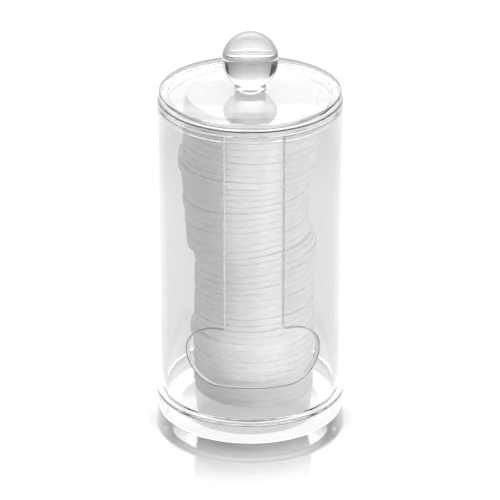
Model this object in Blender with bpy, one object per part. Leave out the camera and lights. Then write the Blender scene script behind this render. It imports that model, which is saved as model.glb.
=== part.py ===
"""Clear cotton pad dispenser: a tube with a keyhole in its wall, standing in a drafted foot,
closed by a lid with a ball knob, and filled with a stack of round cotton pads.

Metres, +Z up. The origin is the centre of the foot's underside. The keyhole faces -Y.
"""

import math

import bmesh
import bpy
from mathutils import Vector

MM = 0.001

# Gap kept between two pieces that touch, and how far a cutter runs past what it cuts
GAP = 0.3 * MM
OVERRUN = 2.0 * MM
MERGE_DISTANCE = 0.001 * MM

# Cotton pads
PAD_RADIUS = 28.5 * MM
PAD_COUNT = 45
PAD_RIM_ROUNDING = 1.1 * MM
PAD_CROWN = 0.4 * MM
DRAWN_PAD = 10

# Tube, its rim and its keyhole: a wide mouth at pad height and a finger slot above it
SIDE_ROOM = 11.5 * MM
TUBE_WALL = 2.5 * MM
RIM_HEIGHT = 154.1 * MM
RIM_BAND_HEIGHT = 3.2 * MM
RIM_BAND_RELIEF = 0.2 * MM
RIM_ROUNDING = 0.35 * MM
MOUTH_SILL_HEIGHT = 17.2 * MM
MOUTH_HEIGHT = 29.2 * MM
MOUTH_PASSAGE = 0.7 * MM
SLOT_HALF_WIDTH = 13.7 * MM
SLOT_CORNER_RADIUS = 1.6 * MM

# Foot: a floor with a seat for the tube, a drafted skirt and a hollow underside
FOOT_HEIGHT = 11.0 * MM
FOOT_FLANGE = 2.55 * MM
FOOT_DRAFT = 1.1 * MM
FOOT_WALL = 2.4 * MM
FLOOR_THICKNESS = 2.6 * MM
SEAT_DEPTH = 0.8 * MM
FOOT_EDGE_ROUNDING = 0.7 * MM
FOOT_HOLLOW_ROUNDING = 1.0 * MM
FOOT_RIM_ROUNDING = 0.3 * MM

# Lid: a thick clear plate on a flanged ring that drops into the tube
LID_THICKNESS = 4.2 * MM
LID_TOP_SETBACK = 0.65 * MM
LID_EDGE_SETBACK = 0.15 * MM
LID_EDGE_ROUNDING = 0.45 * MM
RING_FLANGE_THICKNESS = 2.2 * MM
RING_FLANGE_RELIEF = 0.15 * MM
RING_DEPTH = 3.5 * MM
RING_WALL = 2.1 * MM
RING_CLEARANCE = 0.4 * MM
RING_ROUNDING = 0.3 * MM

# Ball knob with its neck and the peg that holds it in the plate
BALL_RADIUS = 13.1 * MM
NECK_RADIUS = 7.3 * MM
NECK_HEIGHT = 3.5 * MM
NECK_ROUNDING = 0.35 * MM
PEG_RADIUS = 2.5 * MM
PEG_TIP_ROUNDING = 0.4 * MM

# Headroom between the uppermost pad and the lid, which the full stack all but touches
HEADROOM = 0.3 * MM

# How the stack leans. Each row: height in the stack as a share, sideways shift as a share of
# the pad's radius, the pad's own radius as a share, and the slope of its faces.
STACK_LEAN_SHARES = (
    (0.00, 0.055, 1.000, 0.000),
    (0.20, 0.050, 0.990, 0.012),
    (0.34, 0.065, 0.985, 0.060),
    (0.44, 0.090, 1.000, 0.115),
    (0.50, 0.085, 1.000, 0.140),
    (0.55, -0.045, 1.000, 0.120),
    (0.70, -0.080, 1.010, 0.030),
    (0.76, -0.075, 1.030, -0.020),
    (0.80, -0.045, 1.085, -0.040),
    (0.86, 0.030, 1.070, -0.020),
    (0.94, 0.040, 1.055, 0.000),
    (1.00, 0.015, 1.040, 0.000),
)
PAD_JITTER_SHARE = 0.012
PAD_JITTER_STEPS = (2.4, 1.7)
PAD_ROUNDNESS_SHARE = 0.005
PAD_ROUNDNESS_LOBES = 3
PAD_EDGE_HEIGHT_SHARES = (0.30, 0.70)
CROWN_RING_SHARES = ((0.62, 0.62), (0.30, 0.92))

# Facets
TUBE_FACETS = 64
KNOB_FACETS = 40
PAD_FACETS = 24
BALL_STEPS = 16
CORNER_STEPS = 2
MOUTH_STEPS = 9
CUTTER_INNER_SHARE = 0.35
CUTTER_OUTER_SHARE = 1.65
SMOOTH_ANGLE = math.radians(35)

# Derived sizes
BORE_RADIUS = PAD_RADIUS + SIDE_ROOM
TUBE_RADIUS = BORE_RADIUS + TUBE_WALL
TUBE_BASE_HEIGHT = FOOT_HEIGHT - SEAT_DEPTH + GAP
TUBE_LENGTH = RIM_HEIGHT - TUBE_BASE_HEIGHT
RING_SEAT_HEIGHT = RIM_HEIGHT + GAP
PLATE_SEAT_HEIGHT = RING_SEAT_HEIGHT + RING_FLANGE_THICKNESS + GAP
LID_TOP_HEIGHT = PLATE_SEAT_HEIGHT + LID_THICKNESS
KNOB_SEAT_HEIGHT = LID_TOP_HEIGHT + GAP
STACK_BASE_HEIGHT = FOOT_HEIGHT + GAP / 2
STACK_TOP_HEIGHT = PLATE_SEAT_HEIGHT - HEADROOM - PAD_CROWN
PAD_PITCH = (STACK_TOP_HEIGHT - STACK_BASE_HEIGHT) / PAD_COUNT


def clear_scene():
    """Removes whatever objects the file opened with."""
    for item in list(bpy.data.objects):
        bpy.data.objects.remove(item, do_unlink=True)


def make_material(name, colour, roughness, transmission, ior):
    """Makes one Principled material."""
    material = bpy.data.materials.new(name)
    material.use_nodes = True
    shader = material.node_tree.nodes["Principled BSDF"]
    shader.inputs["Base Color"].default_value = (*colour, 1.0)
    shader.inputs["Roughness"].default_value = roughness
    shader.inputs["Metallic"].default_value = 0.0
    shader.inputs["Transmission Weight"].default_value = transmission
    shader.inputs["IOR"].default_value = ior
    material.diffuse_color = (*colour, 1.0)
    return material


def add_object(name, shape, material, location=(0.0, 0.0, 0.0), parent=None):
    """Turns a finished bmesh into a named object with its material and place."""
    bmesh.ops.recalc_face_normals(shape, faces=shape.faces)
    mesh = bpy.data.meshes.new(name)
    shape.to_mesh(mesh)
    shape.free()
    mesh.shade_smooth()
    mesh.set_sharp_from_angle(angle=SMOOTH_ANGLE)
    mesh.materials.append(material)
    item = bpy.data.objects.new(name, mesh)
    item.location = location
    item.parent = parent
    bpy.context.scene.collection.objects.link(item)
    return item


def rounded_outline(corners, steps):
    """Points of a closed outline whose corners, given as (x, y, radius), are rounded."""
    points = []
    for index, (x, y, radius) in enumerate(corners):
        corner = Vector((x, y))
        if radius == 0:
            points.append(corner)
            continue
        before = (Vector(corners[index - 1][:2]) - corner).normalized()
        after = (Vector(corners[(index + 1) % len(corners)][:2]) - corner).normalized()
        half_angle = before.angle(after) / 2
        centre = corner + (before + after).normalized() * radius / math.sin(half_angle)
        start = corner + before * radius / math.tan(half_angle) - centre
        end = corner + after * radius / math.tan(half_angle) - centre
        turn = start.angle_signed(end)
        for step in range(steps + 1):
            angle = -turn * step / steps
            cosine = math.cos(angle)
            sine = math.sin(angle)
            spoke = Vector((start.x * cosine - start.y * sine, start.x * sine + start.y * cosine))
            points.append(centre + spoke)
    return [p for p, q in zip(points, points[1:] + points[:1]) if (p - q).length > MERGE_DISTANCE]


def turned_shape(outline, facets):
    """Spins a closed outline of (radius, height) points once round the Z axis."""
    shape = bmesh.new()
    corners = [shape.verts.new((point[0], 0.0, point[1])) for point in outline]
    rim = [shape.edges.new(pair) for pair in zip(corners, corners[1:] + corners[:1])]
    bmesh.ops.spin(
        shape, geom=corners + rim, cent=(0.0, 0.0, 0.0), axis=(0.0, 0.0, 1.0),
        angle=math.tau, steps=facets)
    bmesh.ops.remove_doubles(shape, verts=shape.verts, dist=MERGE_DISTANCE)
    bmesh.ops.dissolve_degenerate(shape, edges=shape.edges, dist=MERGE_DISTANCE)
    on_axis = [edge for edge in shape.edges if all(v.co.xy.length < MERGE_DISTANCE for v in edge.verts)]
    bmesh.ops.delete(shape, geom=on_axis, context="EDGES")
    return shape


def keyhole_outline():
    """Outline of the keyhole as seen from the front, from the slot's top round the mouth."""
    mouth_radius = MOUTH_HEIGHT / 2
    half_width = (PAD_RADIUS + MOUTH_PASSAGE) * TUBE_RADIUS / BORE_RADIUS
    sill = FOOT_HEIGHT + MOUTH_SILL_HEIGHT - TUBE_BASE_HEIGHT
    lintel = sill + MOUTH_HEIGHT
    top = TUBE_LENGTH + OVERRUN
    left = (
        (-SLOT_HALF_WIDTH, top, 0),
        (-SLOT_HALF_WIDTH, lintel, SLOT_CORNER_RADIUS),
        (-half_width, lintel, mouth_radius),
        (-half_width, sill, mouth_radius),
    )
    right = tuple((-x, z, radius) for x, z, radius in reversed(left))
    return rounded_outline(left + right, MOUTH_STEPS)


def make_keyhole_cutter(material):
    """A cutter whose sides run along the tube's radii, so that the cut faces stand square."""
    shape = bmesh.new()
    loops = []
    for share in (CUTTER_INNER_SHARE, CUTTER_OUTER_SHARE):
        loop = []
        for x, z in keyhole_outline():
            across = x * share
            ahead = math.sqrt(TUBE_RADIUS ** 2 - x ** 2) * share
            loop.append(shape.verts.new((across, -ahead, z)))
        loops.append(loop)
    inner, outer = loops
    shape.faces.new(inner)
    shape.faces.new(outer)
    for index, corner in enumerate(inner):
        shape.faces.new((inner[index - 1], corner, outer[index], outer[index - 1]))
    bmesh.ops.triangulate(shape, faces=shape.faces)
    cutter = add_object("keyhole_cutter", shape, material, location=(0.0, 0.0, TUBE_BASE_HEIGHT))
    cutter.hide_render = True
    cutter.display_type = "WIRE"
    return cutter


def make_tube(material):
    """The straight tube with its rim band, opened at the front by the keyhole."""
    band_radius = TUBE_RADIUS + RIM_BAND_RELIEF
    band_foot = TUBE_LENGTH - RIM_BAND_HEIGHT
    outline = rounded_outline((
        (BORE_RADIUS, 0, 0),
        (BORE_RADIUS, TUBE_LENGTH, RIM_ROUNDING),
        (band_radius, TUBE_LENGTH, RIM_ROUNDING),
        (band_radius, band_foot, 0),
        (TUBE_RADIUS, band_foot - RIM_BAND_RELIEF, 0),
        (TUBE_RADIUS, 0, 0),
    ), CORNER_STEPS)
    tube = add_object("jar_tube", turned_shape(outline, TUBE_FACETS), material,
                      location=(0.0, 0.0, TUBE_BASE_HEIGHT))
    cut = tube.modifiers.new("keyhole", "BOOLEAN")
    cut.operation = "DIFFERENCE"
    cut.object = make_keyhole_cutter(material)
    return tube


def make_foot(material):
    """The moulded foot: floor, seat groove for the tube, drafted skirt and hollow underside."""
    flange_radius = TUBE_RADIUS + FOOT_FLANGE
    base_radius = flange_radius - FOOT_DRAFT
    underside = FOOT_HEIGHT - FLOOR_THICKNESS
    seat = FOOT_HEIGHT - SEAT_DEPTH
    hollow_radius = flange_radius - FOOT_WALL - FOOT_DRAFT * FLOOR_THICKNESS / FOOT_HEIGHT
    outline = rounded_outline((
        (0, FOOT_HEIGHT, 0),
        (BORE_RADIUS - GAP, FOOT_HEIGHT, 0),
        (BORE_RADIUS - GAP, seat, 0),
        (TUBE_RADIUS + GAP, seat, 0),
        (TUBE_RADIUS + GAP, FOOT_HEIGHT, 0),
        (flange_radius, FOOT_HEIGHT, FOOT_EDGE_ROUNDING),
        (base_radius, 0, FOOT_RIM_ROUNDING),
        (base_radius - FOOT_WALL, 0, FOOT_RIM_ROUNDING),
        (hollow_radius, underside, FOOT_HOLLOW_ROUNDING),
        (0, underside, 0),
    ), CORNER_STEPS)
    return add_object("foot", turned_shape(outline, TUBE_FACETS), material)


def make_lid_plate(material, parent):
    """The lid's thick plate, wider at its lower edge, with the hole for the knob's peg."""
    top_radius = TUBE_RADIUS - LID_TOP_SETBACK
    edge_radius = TUBE_RADIUS - LID_EDGE_SETBACK
    outline = rounded_outline((
        (PEG_RADIUS + GAP, 0, 0),
        (PEG_RADIUS + GAP, LID_THICKNESS, 0),
        (top_radius, LID_THICKNESS, LID_EDGE_ROUNDING),
        (edge_radius, 0, 0),
    ), CORNER_STEPS)
    return add_object("lid_plate", turned_shape(outline, TUBE_FACETS), material,
                      location=(0.0, 0.0, PLATE_SEAT_HEIGHT - RIM_HEIGHT), parent=parent)


def make_lid_ring(material, parent):
    """The flanged ring under the plate: the flange rests on the rim, the ring fits the bore."""
    outer_radius = BORE_RADIUS - RING_CLEARANCE
    inner_radius = outer_radius - RING_WALL
    flange_radius = TUBE_RADIUS + RING_FLANGE_RELIEF
    outline = rounded_outline((
        (inner_radius, RING_FLANGE_THICKNESS, 0),
        (flange_radius, RING_FLANGE_THICKNESS, RING_ROUNDING),
        (flange_radius, 0, RING_ROUNDING),
        (outer_radius, 0, 0),
        (outer_radius, -RING_DEPTH, RING_ROUNDING),
        (inner_radius, -RING_DEPTH, RING_ROUNDING),
    ), CORNER_STEPS)
    return add_object("lid_ring", turned_shape(outline, TUBE_FACETS), material,
                      location=(0.0, 0.0, RING_SEAT_HEIGHT - RIM_HEIGHT), parent=parent)


def make_knob(material, parent):
    """The ball knob with its neck, and the peg that goes down through the plate."""
    ball_centre = NECK_HEIGHT + math.sqrt(BALL_RADIUS ** 2 - NECK_RADIUS ** 2)
    peg_end = -GAP - LID_THICKNESS
    neck = rounded_outline((
        (0, NECK_HEIGHT, 0),
        (0, peg_end, 0),
        (PEG_RADIUS, peg_end, PEG_TIP_ROUNDING),
        (PEG_RADIUS, 0, 0),
        (NECK_RADIUS, 0, NECK_ROUNDING),
        (NECK_RADIUS, NECK_HEIGHT, 0),
    ), CORNER_STEPS)
    lowest = -math.acos(NECK_RADIUS / BALL_RADIUS)
    ball = []
    for step in range(1, BALL_STEPS + 1):
        angle = lowest + (math.pi / 2 - lowest) * step / BALL_STEPS
        ball.append(Vector((BALL_RADIUS * math.cos(angle), ball_centre + BALL_RADIUS * math.sin(angle))))
    return add_object("knob", turned_shape(neck[1:] + ball, KNOB_FACETS), material,
                      location=(0.0, 0.0, KNOB_SEAT_HEIGHT - RIM_HEIGHT), parent=parent)


def stack_lean(share):
    """Shift, radius share and slope at one height of the stack, eased between the rows."""
    for lower, upper in zip(STACK_LEAN_SHARES, STACK_LEAN_SHARES[1:]):
        if share <= upper[0]:
            break
    part = (share - lower[0]) / (upper[0] - lower[0])
    eased = part * part * (3 - 2 * part)
    return tuple(a + (b - a) * eased for a, b in zip(lower[1:], upper[1:]))


def face_between_pads(level):
    """Height at the axis and slope of the face under pad number level, counted from zero."""
    slope = stack_lean(level / PAD_COUNT)[2]
    return STACK_BASE_HEIGHT + PAD_PITCH * level, slope


def pad_place(number):
    """Centre and radius of a pad; the pad that can be drawn out lies on the axis."""
    shift, radius_share, _ = stack_lean((number - 0.5) / PAD_COUNT)
    if number == DRAWN_PAD:
        return 0.0, 0.0, PAD_RADIUS
    across = PAD_RADIUS * (shift + PAD_JITTER_SHARE * math.sin(PAD_JITTER_STEPS[0] * number))
    ahead = PAD_RADIUS * PAD_JITTER_SHARE * math.cos(PAD_JITTER_STEPS[1] * number)
    return across, ahead, PAD_RADIUS * radius_share


def make_pad(number, material):
    """One soft pad, pressed to the slopes of the pads under and over it, with a rounded rim."""
    across, ahead, radius = pad_place(number)
    under, under_slope = face_between_pads(number - 1)
    over, over_slope = face_between_pads(number)
    middle = (under + over + (under_slope + over_slope) * across) / 2
    shape = bmesh.new()

    def ring(ring_radius, height_share, rise=0.0):
        """A ring of corners at a share of the pad's local thickness."""
        corners = []
        for index in range(PAD_FACETS):
            angle = math.tau * index / PAD_FACETS
            wave = PAD_ROUNDNESS_SHARE * math.sin(PAD_ROUNDNESS_LOBES * angle + number)
            reach = ring_radius * (1 + wave)
            x = reach * math.cos(angle)
            y = reach * math.sin(angle)
            low = under + under_slope * (across + x) + GAP / 2
            high = over + over_slope * (across + x) - GAP / 2
            corners.append(shape.verts.new((x, y, low + (high - low) * height_share + rise - middle)))
        return corners

    face_radius = radius - PAD_RIM_ROUNDING
    rings = [ring(face_radius, 0.0)]
    rings += [ring(radius, share) for share in PAD_EDGE_HEIGHT_SHARES]
    rings.append(ring(face_radius, 1.0))
    if number == PAD_COUNT:
        rings += [ring(face_radius * reach, 1.0, PAD_CROWN * rise) for reach, rise in CROWN_RING_SHARES]
    shape.faces.new(list(reversed(rings[0])))
    shape.faces.new(rings[-1])
    for lower, upper in zip(rings, rings[1:]):
        for index in range(PAD_FACETS):
            shape.faces.new((lower[index - 1], lower[index], upper[index], upper[index - 1]))
    return add_object(f"cotton_pad_{number:02d}", shape, material, location=(across, ahead, middle))


def main():
    """Builds the dispenser from the foot up."""
    clear_scene()
    clear_plastic = make_material("clear_plastic", (0.95, 0.96, 0.96), 0.03, 1.0, 1.49)
    lid_plastic = make_material("lid_plastic", (0.96, 0.97, 0.97), 0.02, 1.0, 1.49)
    cotton = make_material("cotton", (0.90, 0.90, 0.89), 0.95, 0.0, 1.45)
    lid = bpy.data.objects.new("lid_seat", None)
    lid.location = (0.0, 0.0, RIM_HEIGHT)
    bpy.context.scene.collection.objects.link(lid)
    make_foot(clear_plastic)
    make_tube(clear_plastic)
    make_lid_ring(lid_plastic, lid)
    make_lid_plate(lid_plastic, lid)
    make_knob(lid_plastic, lid)
    for number in range(1, PAD_COUNT + 1):
        make_pad(number, cotton)


main()
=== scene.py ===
"""Looks of the clear cotton pad dispenser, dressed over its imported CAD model.

Metres, +Z up. The origin is the centre of the foot's underside and the keyhole faces -Y. Every
hard piece is modelled afresh with fine turned surfaces, because clear plastic shows each facet,
and every pad of the stack is a soft body of its own.
"""

import logging
import math
import random
from collections.abc import Callable
from dataclasses import dataclass, field
from enum import Enum, IntEnum

import bmesh
import bpy
from mathutils import Matrix, Vector, noise

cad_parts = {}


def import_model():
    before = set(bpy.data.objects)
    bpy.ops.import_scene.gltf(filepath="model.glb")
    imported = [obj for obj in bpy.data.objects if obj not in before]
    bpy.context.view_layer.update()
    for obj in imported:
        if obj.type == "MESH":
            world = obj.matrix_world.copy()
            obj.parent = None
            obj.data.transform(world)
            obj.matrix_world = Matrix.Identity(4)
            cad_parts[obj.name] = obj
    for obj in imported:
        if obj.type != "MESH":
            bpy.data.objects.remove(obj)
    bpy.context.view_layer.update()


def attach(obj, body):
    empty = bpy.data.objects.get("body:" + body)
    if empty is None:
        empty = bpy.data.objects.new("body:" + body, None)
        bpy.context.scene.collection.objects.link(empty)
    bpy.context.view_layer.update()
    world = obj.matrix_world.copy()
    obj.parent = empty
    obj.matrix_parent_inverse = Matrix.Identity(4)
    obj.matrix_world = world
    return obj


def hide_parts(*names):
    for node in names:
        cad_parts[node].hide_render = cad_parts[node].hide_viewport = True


MM = 0.001
TOUCH = 0.02 * MM
MERGE = 0.002 * MM
EVEN = (1.0, 1.0, 1.0)
BOUNCES = 96
CLEAR_LAYERS = 32

LOG = logging.getLogger("dispenser")

Piece = bpy.types.Object
Material = bpy.types.Material
Socket = bpy.types.NodeSocket
Span = tuple[float, float]
Triple = tuple[float, float, float]
Levels = tuple[Span, ...]


class Body(str, Enum):
    """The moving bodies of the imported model."""

    JAR = "jar"
    LID = "lid"
    DRAWN_PAD = "drawn_pad"


class Slot(str, Enum):
    """The material slots."""

    CLEAR = "clear_plastic"
    LID = "lid_plastic"
    COTTON = "cotton"


class TubeFace(IntEnum):
    """The tube's finishes, in the order in which it is dressed."""

    WALL = 0
    CEMENTED = 1
    CUT = 2
    MOUTH_ROUNDING = 3
    SLOT_ROUNDING = 4


@dataclass(frozen=True)
class Corner:
    """One corner of a turned profile: distance from the axis, height and rounding."""

    radius: float
    height: float
    rounding: float = 0.0


class Bench:
    """Modelling steps that the sub-assemblies share, each one an operator of Blender's."""

    @staticmethod
    def put_down() -> None:
        """Leaves edit mode and deselects everything."""
        if bpy.context.object and bpy.context.object.mode != "OBJECT":
            bpy.ops.object.mode_set(mode="OBJECT")
        bpy.ops.object.select_all(action="DESELECT")

    @staticmethod
    def pick_up(piece: Piece) -> None:
        """Selects one piece alone and makes it the active one."""
        Bench.put_down()
        piece.select_set(True)
        bpy.context.view_layer.objects.active = piece

    @staticmethod
    def settle(piece: Piece) -> None:
        """Moves a piece's place, turn and scale into its mesh."""
        Bench.pick_up(piece)
        bpy.ops.object.transform_apply(location=True, rotation=True, scale=True)

    @staticmethod
    def edit(everything: bool = False) -> None:
        """Enters the active piece's edit mode with nothing changed or with all of it selected."""
        bpy.ops.object.mode_set(mode="EDIT")
        if everything:
            Bench.select_all()

    @staticmethod
    def leave() -> None:
        """Leaves edit mode."""
        bpy.ops.object.mode_set(mode="OBJECT")

    @staticmethod
    def select_all() -> None:
        """Selects the whole mesh in edit mode."""
        bpy.ops.mesh.select_all(action="SELECT")

    @staticmethod
    def select(kind: str, test: Callable[[object], bool]) -> None:
        """Selects the parts of the mesh in edit mode that pass a test.

        Args:
            kind: Which parts: VERT, EDGE or FACE.
            test: Whether one of them is wanted.
        """
        bpy.ops.mesh.select_mode(type=kind)
        mesh = bmesh.from_edit_mesh(bpy.context.object.data)
        for part in {"VERT": mesh.verts, "EDGE": mesh.edges, "FACE": mesh.faces}[kind]:
            part.select = test(part)
        mesh.select_flush_mode()
        bmesh.update_edit_mesh(bpy.context.object.data)

    @staticmethod
    def select_points(places: list[Vector]) -> None:
        """Selects the vertices of the mesh in edit mode that lie at given places."""
        Bench.select("VERT", lambda vertex: any(
            (vertex.co - place).length < MERGE for place in places))

    @staticmethod
    def merge() -> None:
        """Merges the doubled points of the mesh in edit mode and selects all of it."""
        Bench.select_all()
        bpy.ops.mesh.remove_doubles(threshold=MERGE)
        Bench.select_all()

    @staticmethod
    def draw_outline(name: str, places: list[Vector]) -> Piece:
        """Draws a closed outline by extruding one vertex after another, and fills it.

        Args:
            name: The new object's name.
            places: The outline's corners in order.

        Returns:
            The object, in edit mode, holding one many-sided face.
        """
        Bench.put_down()
        bpy.ops.mesh.primitive_plane_add(size=MM, location=places[0])
        piece = bpy.context.object
        piece.name = piece.data.name = name
        Bench.settle(piece)
        Bench.edit()
        bpy.ops.mesh.select_mode(type="VERT")
        Bench.select_all()
        bpy.ops.mesh.merge(type="CENTER")
        for before, after in zip(places, places[1:] + places[:1]):
            bpy.ops.mesh.extrude_vertices_move(TRANSFORM_OT_translate={"value": after - before})
        Bench.merge()
        bpy.ops.mesh.edge_face_add()
        return piece

    @staticmethod
    def round_corner(places: list[Vector], index: int, rounding: float, steps: int) -> None:
        """Rounds one corner of the outline in edit mode with a vertex bevel.

        Args:
            places: The outline's sharp corners in order.
            index: Which corner to round.
            rounding: The radius.
            steps: How many edges make the arc.
        """
        corner = places[index]
        before = (places[index - 1] - corner).normalized()
        after = (places[(index + 1) % len(places)] - corner).normalized()
        Bench.select_points([corner])
        bpy.ops.mesh.bevel(
            offset=rounding / math.tan(before.angle(after) / 2), offset_type="OFFSET",
            segments=steps, profile=0.5, affect="VERTICES", clamp_overlap=False)

    @staticmethod
    def turn(name: str, corners: list[Corner], facets: int, steps: int = 5) -> Piece:
        """Turns a closed profile once round the Z axis, as on a lathe.

        Args:
            name: The new object's name.
            corners: The profile's corners in order; an edge on the axis is left open.
            facets: How many steps make the full turn.
            steps: How many edges make each rounded corner.

        Returns:
            The closed, smooth-shaded solid.
        """
        places = [Vector((corner.radius, 0.0, corner.height)) for corner in corners]
        piece = Bench.draw_outline(name, places)
        for index, corner in enumerate(corners):
            if corner.rounding > 0.0:
                Bench.round_corner(places, index, corner.rounding, steps)
        Bench.select_all()
        bpy.ops.mesh.delete(type="ONLY_FACE")
        on_axis = [place for place in places if place.x < MERGE]
        if on_axis:
            Bench.select_points(on_axis)
            bpy.ops.mesh.delete(type="EDGE")
        Bench.select_all()
        bpy.ops.mesh.spin(
            steps=facets, angle=math.tau, dupli=False, use_auto_merge=True,
            center=(0.0, 0.0, 0.0), axis=(0.0, 0.0, 1.0))
        Bench.merge()
        Bench.close()
        Bench.smooth(piece)
        return piece

    @staticmethod
    def close() -> None:
        """Turns the normals of the closed mesh in edit mode outwards and leaves edit mode."""
        Bench.select_all()
        bpy.ops.mesh.normals_make_consistent(inside=False)
        Bench.leave()

    @staticmethod
    def smooth(piece: Piece, angle: float = math.radians(32)) -> None:
        """Shades a piece smooth except at its sharp edges."""
        Bench.pick_up(piece)
        bpy.ops.object.shade_smooth_by_angle(angle=angle)

    @staticmethod
    def modify(piece: Piece, kind: str, **settings: object) -> None:
        """Adds one modifier to a piece and applies it.

        Args:
            piece: The piece to change.
            kind: The modifier's type.
            settings: The modifier's values by name.
        """
        Bench.pick_up(piece)
        bpy.ops.object.modifier_add(type=kind)
        modifier = piece.modifiers[-1]
        for name, value in settings.items():
            setattr(modifier, name, value)
        bpy.ops.object.modifier_apply(modifier=modifier.name)

    @staticmethod
    def dress(piece: Piece, material: Material, *others: Material) -> None:
        """Gives a piece one material all over, and others that single faces may take."""
        piece.data.materials.clear()
        for each in (material, *others):
            piece.data.materials.append(each)

    @staticmethod
    def paint(piece: Piece, material: Material, test: Callable[[float, float], bool]) -> None:
        """Gives another material to the faces whose centres pass a test.

        Args:
            piece: The piece.
            material: The other material.
            test: Whether a distance from the axis and a height get it.
        """
        piece.data.materials.append(material)
        for face in piece.data.polygons:
            if test(math.hypot(face.center.x, face.center.y), face.center.z):
                face.material_index = len(piece.data.materials) - 1

    @staticmethod
    def register(piece: Piece, node: str, body: Body, slot: Slot) -> None:
        """Hides the imported node that a piece stands for and hangs the piece on the body it
        rides.
        """
        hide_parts(node)
        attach(piece, body.value)


def grey(level: float) -> tuple[float, float, float, float]:
    """One grey as a colour."""
    return level, level, level, 1.0


def brightest(levels: Levels) -> float:
    """The highest grey of a row of places and greys."""
    return max(level for _, level in levels)


class Nodes:
    """A material's node tree, with short ways to add to it."""

    def __init__(self, owner: Material | bpy.types.World) -> None:
        """Empties the owner's tree and keeps hold of it."""
        owner.use_nodes = True
        self.tree = owner.node_tree
        self.tree.nodes.clear()

    def node(self, kind: str, inputs: dict[object, object] | None = None,
             **settings: object) -> bpy.types.Node:
        """Adds one node.

        Args:
            kind: The node's type, without the word that all of them start with.
            inputs: Values or sockets for its inputs, by name or number.
            settings: The node's own settings by name.

        Returns:
            The node.
        """
        node = self.tree.nodes.new("ShaderNode" + kind)
        for name, value in settings.items():
            setattr(node, name, value)
        for name, value in (inputs or {}).items():
            if isinstance(value, Socket):
                self.tree.links.new(value, node.inputs[name])
            else:
                node.inputs[name].default_value = value
        return node

    def add(self, kind: str, inputs: dict[object, object] | None = None,
            result: str | int = 0, **settings: object) -> Socket:
        """Adds one node and returns its output of the given name or number."""
        return self.node(kind, inputs, **settings).outputs[result]

    def show(self, shader: Socket, inside: Socket | None = None) -> None:
        """Links a shader, and what fills the piece, to the material's output."""
        self.node("OutputMaterial", {"Surface": shader} | ({"Volume": inside} if inside else {}))

    def place(self) -> Socket:
        """The place on the object itself."""
        return self.add("TexCoord", result="Object")

    def ray(self, kind: str) -> Socket:
        """One for rays of one kind, by the light path's name for them."""
        return self.add("LightPath", result=kind)

    def work(self, operation: str, *values: object, clamp: bool = False) -> Socket:
        """Works one operation on numbers."""
        return self.add("Math", dict(enumerate(values)), operation=operation, use_clamp=clamp)

    def towards(self, direction: Socket, aim: Triple) -> Socket:
        """The share of a direction that points to an aim."""
        return self.add("VectorMath", {0: direction, 1: aim}, "Value", operation="DOT_PRODUCT")

    def between(self, value: Socket, source: Span,
                target: tuple[object, object] = (0.0, 1.0)) -> Socket:
        """Carries a value from one range over to another, and holds it at the ends."""
        return self.add("MapRange", {
            "Value": value, "From Min": source[0], "From Max": source[1],
            "To Min": target[0], "To Max": target[1]})

    def choose(self, share: Socket, first: object, second: object) -> Socket:
        """Blends two numbers."""
        return self.add("Mix", {0: share, 2: first, 3: second}, data_type="FLOAT")

    def blend(self, share: Socket, first: Socket, second: Socket) -> Socket:
        """Blends two shaders."""
        return self.add("MixShader", {0: share, 1: first, 2: second})

    def noise(self, place: Socket, scale: float, detail: float,
              roughness: float, distortion: float = 0.0) -> Socket:
        """Noise as a number."""
        return self.add("TexNoise", {
            "Vector": place, "Scale": scale, "Detail": detail, "Roughness": roughness,
            "Distortion": distortion}, "Fac")

    def ramp(self, value: Socket, levels: Levels) -> Socket:
        """Turns a value into greys, straight from one to the next.

        Args:
            value: What the greys follow.
            levels: The value and the grey at each stop, the first and the last at the ends.

        Returns:
            The greys as shares of the brightest one.
        """
        start, end = levels[0][0], levels[-1][0]
        node = self.node("ValToRGB", {0: self.between(value, (start, end))})
        stops = node.color_ramp.elements
        while len(stops) < len(levels):
            stops.new(0.5)
        for stop, (place, level) in zip(stops, levels):
            stop.position = (place - start) / (end - start)
            stop.color = grey(level / brightest(levels))
        return node.outputs[0]

    def seen_ray(self) -> Socket:
        """One for rays that show a surface: from the camera, a mirror or through clear plastic."""
        direct = self.work("ADD", self.ray("Is Camera Ray"), self.ray("Is Glossy Ray"))
        return self.work("ADD", direct, self.ray("Is Transmission Ray"), clamp=True)


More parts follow.
